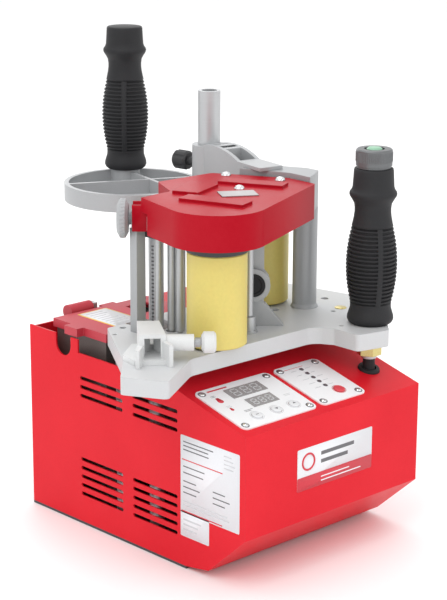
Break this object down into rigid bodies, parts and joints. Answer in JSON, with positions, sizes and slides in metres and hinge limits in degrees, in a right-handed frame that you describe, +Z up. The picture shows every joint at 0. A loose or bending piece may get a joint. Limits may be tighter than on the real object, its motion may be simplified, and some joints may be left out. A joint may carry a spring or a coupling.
{
  "type": "edge banding machine",
  "caption": "Portable edge banding machine: sheet housing with sloped control panel, cast plate with pressure rollers and tape guide, two ribbed handles and a height-adjustable ring sole.",
  "frame": {"origin": "centre of the base pan's underside", "axes": "+Z up, +X to the operator's right along the front, +Y to the rear"},
  "size_m": [0.2908, 0.3433, 0.383],
  "materials": {
    "red_powder_coat": "fine powder coat, satin",
    "red_cover_paint": "smooth satin paint",
    "red_lid_paint": "satin paint, slightly dulled",
    "pan_steel": "dark paint",
    "plate_casting": "light grey satin coat over a machined casting",
    "head_casting_grey": "fine sand-cast, satin",
    "sole_casting": "fine sand-cast, silver lacquer",
    "bright_steel": "ground",
    "chrome_screws": "polished",
    "gear_steel": "machined",
    "roller_rubber": "smooth silicone, slightly translucent",
    "black_core": "satin black",
    "grip_rubber": "matt, fine grain",
    "clamp_plastic": "fine grain",
    "wheel_grey": "fine grain",
    "guide_plastic": "satin white",
    "collar_metal": "anodised, knurled",
    "nut_brass": "yellow zinc plate",
    "window_metal": "brushed",
    "button_green": "satin",
    "panel_face": "printed membrane, satin",
    "display_dark": "smoked",
    "lamp_dark": "clear lens, off",
    "key_grey": "printed membrane",
    "key_red": "printed membrane",
    "inlet_black": "moulded",
    "board_green": "solder mask",
    "motor_steel": "zinc plate",
    "pot_alloy": "cast, heat stained",
    "heater_brass": "machined"
  },
  "bodies": {
    "housing": {"base_pan": "pan_steel", "bearing_block": "black_core", "bracket_bearing": "grip_rubber", "cable_grommet": "grip_rubber", "circuit_board": "board_green", "cover_screws": "chrome_screws", "cover_window": "window_metal", "display_panel": "panel_face", "display_windows": "display_dark", "drive_motor": "motor_steel", "glue_pot": "pot_alloy", "guide_rod": "bright_steel", "guide_spring": "bright_steel", "handle_collar": "collar_metal", "handle_nut": "nut_brass", "head_casting": "head_casting_grey", "head_cover": "red_cover_paint", "housing_shell": "red_powder_coat", "indicator_panel": "panel_face", "lid_hinge": "bright_steel", "panel_screws": "chrome_screws", "pivot_shaft": "bright_steel", "plate_pillars": "bright_steel", "pot_heaters": "heater_brass", "power_inlet": "inlet_black", "rear_panel": "red_powder_coat", "right_column": "head_casting_grey", "right_grip": "grip_rubber", "right_handle_tube": "bright_steel", "roller_axles": "bright_steel", "status_lamps": "lamp_dark", "support_arm": "sole_casting", "support_bracket": "head_casting_grey", "tape_guide": "guide_plastic", "tape_pins": "bright_steel", "top_plate": "plate_casting", "wire_sleeve": "grip_rubber"},
    "front_pressure_roller": {"front_roller": "roller_rubber", "front_roller_core": "black_core"},
    "rear_pressure_roller": {"rear_roller": "roller_rubber", "rear_roller_core": "black_core"},
    "glue_applicator": {"glue_roller": "bright_steel", "glue_gear": "gear_steel"},
    "tape_feeder": {"feed_roller": "bright_steel", "feed_gear": "gear_steel"},
    "pinch_roller": {"pinch_roller": "bright_steel"},
    "guide_knob": {"guide_knob": "guide_plastic"},
    "thumb_wheel": {"thumb_wheel": "wheel_grey"},
    "clamp_knob": {"clamp_knob": "clamp_plastic"},
    "sole": {"sole_plate": "sole_casting", "sole_tube": "bright_steel", "left_grip": "grip_rubber", "left_handle_stud": "bright_steel"},
    "start_button": {"start_button": "button_green"},
    "select_key": {"select_key": "key_grey"},
    "down_key": {"down_key": "key_grey"},
    "up_key": {"up_key": "key_grey"},
    "stop_key": {"stop_key": "key_red"},
    "pot_lid": {"pot_lid": "red_lid_paint"},
    "main_switch": {"main_switch": "inlet_black"}
  },
  "joints": [
    {"name": "front_roller_spin", "type": "hinge", "parent": "housing", "child": "front_pressure_roller", "pos_m": [-0.059, -0.0565, 0.2], "axis": [0, 0, 1], "continuous": true},
    {"name": "rear_roller_spin", "type": "hinge", "parent": "housing", "child": "rear_pressure_roller", "pos_m": [0.056, 0.0125, 0.2], "axis": [0, 0, 1], "continuous": true},
    {"name": "glue_roller_spin", "type": "hinge", "parent": "housing", "child": "glue_applicator", "pos_m": [-0.061, 0.011, 0.2], "axis": [0, 0, 1], "continuous": true},
    {"name": "feed_roller_spin", "type": "hinge", "parent": "housing", "child": "tape_feeder", "pos_m": [-0.05877, -0.00484, 0.2], "axis": [0, 0, 1], "continuous": true},
    {"name": "pinch_roller_spin", "type": "hinge", "parent": "housing", "child": "pinch_roller", "pos_m": [-0.0567, -0.01257, 0.2], "axis": [0, 0, 1], "continuous": true},
    {"name": "guide_knob_turn", "type": "hinge", "parent": "housing", "child": "guide_knob", "pos_m": [-0.09507, -0.07718, 0.186], "axis": [0.766, -0.6428, 0], "range_deg": [-90, 360]},
    {"name": "thumb_wheel_turn", "type": "hinge", "parent": "housing", "child": "thumb_wheel", "pos_m": [-0.08118, 0.01631, 0.2629], "axis": [-0.7193, 0.6947, 0], "range_deg": [-360, 360]},
    {"name": "clamp_knob_turn", "type": "hinge", "parent": "housing", "child": "clamp_knob", "pos_m": [0.067, 0.087, 0.276], "axis": [-0.1392, 0.9903, 0], "range_deg": [0, 360]},
    {"name": "sole_height", "type": "slide", "parent": "housing", "child": "sole", "axis": [0, 0, 1], "range_m": [-0.05, 0]},
    {"name": "start_press", "type": "slide", "parent": "housing", "child": "start_button", "axis": [0, 0, -1], "range_m": [0, 0.0015], "stiffness_N_per_m": 1500},
    {"name": "select_key_press", "type": "slide", "parent": "housing", "child": "select_key", "axis": [0, 0.2496, -0.9683], "range_m": [0, 0.0007], "stiffness_N_per_m": 1500},
    {"name": "down_key_press", "type": "slide", "parent": "housing", "child": "down_key", "axis": [0, 0.2496, -0.9683], "range_m": [0, 0.0007], "stiffness_N_per_m": 1500},
    {"name": "up_key_press", "type": "slide", "parent": "housing", "child": "up_key", "axis": [0, 0.2496, -0.9683], "range_m": [0, 0.0007], "stiffness_N_per_m": 1500},
    {"name": "stop_key_press", "type": "slide", "parent": "housing", "child": "stop_key", "axis": [0, 0.2496, -0.9683], "range_m": [0, 0.0007], "stiffness_N_per_m": 1500},
    {"name": "lid_swing", "type": "hinge", "parent": "housing", "child": "pot_lid", "pos_m": [-0.054, 0.117, 0.1635], "axis": [-1, 0, 0], "range_deg": [0, 65]},
    {"name": "switch_rock", "type": "hinge", "parent": "housing", "child": "main_switch", "pos_m": [0.045, 0.125, 0.055], "axis": [-1, 0, 0], "range_deg": [0, 12]}
  ],
  "couplings": [
    {"joint": "feed_roller_spin", "follows": "glue_roller_spin", "ratio": -1}
  ]
}
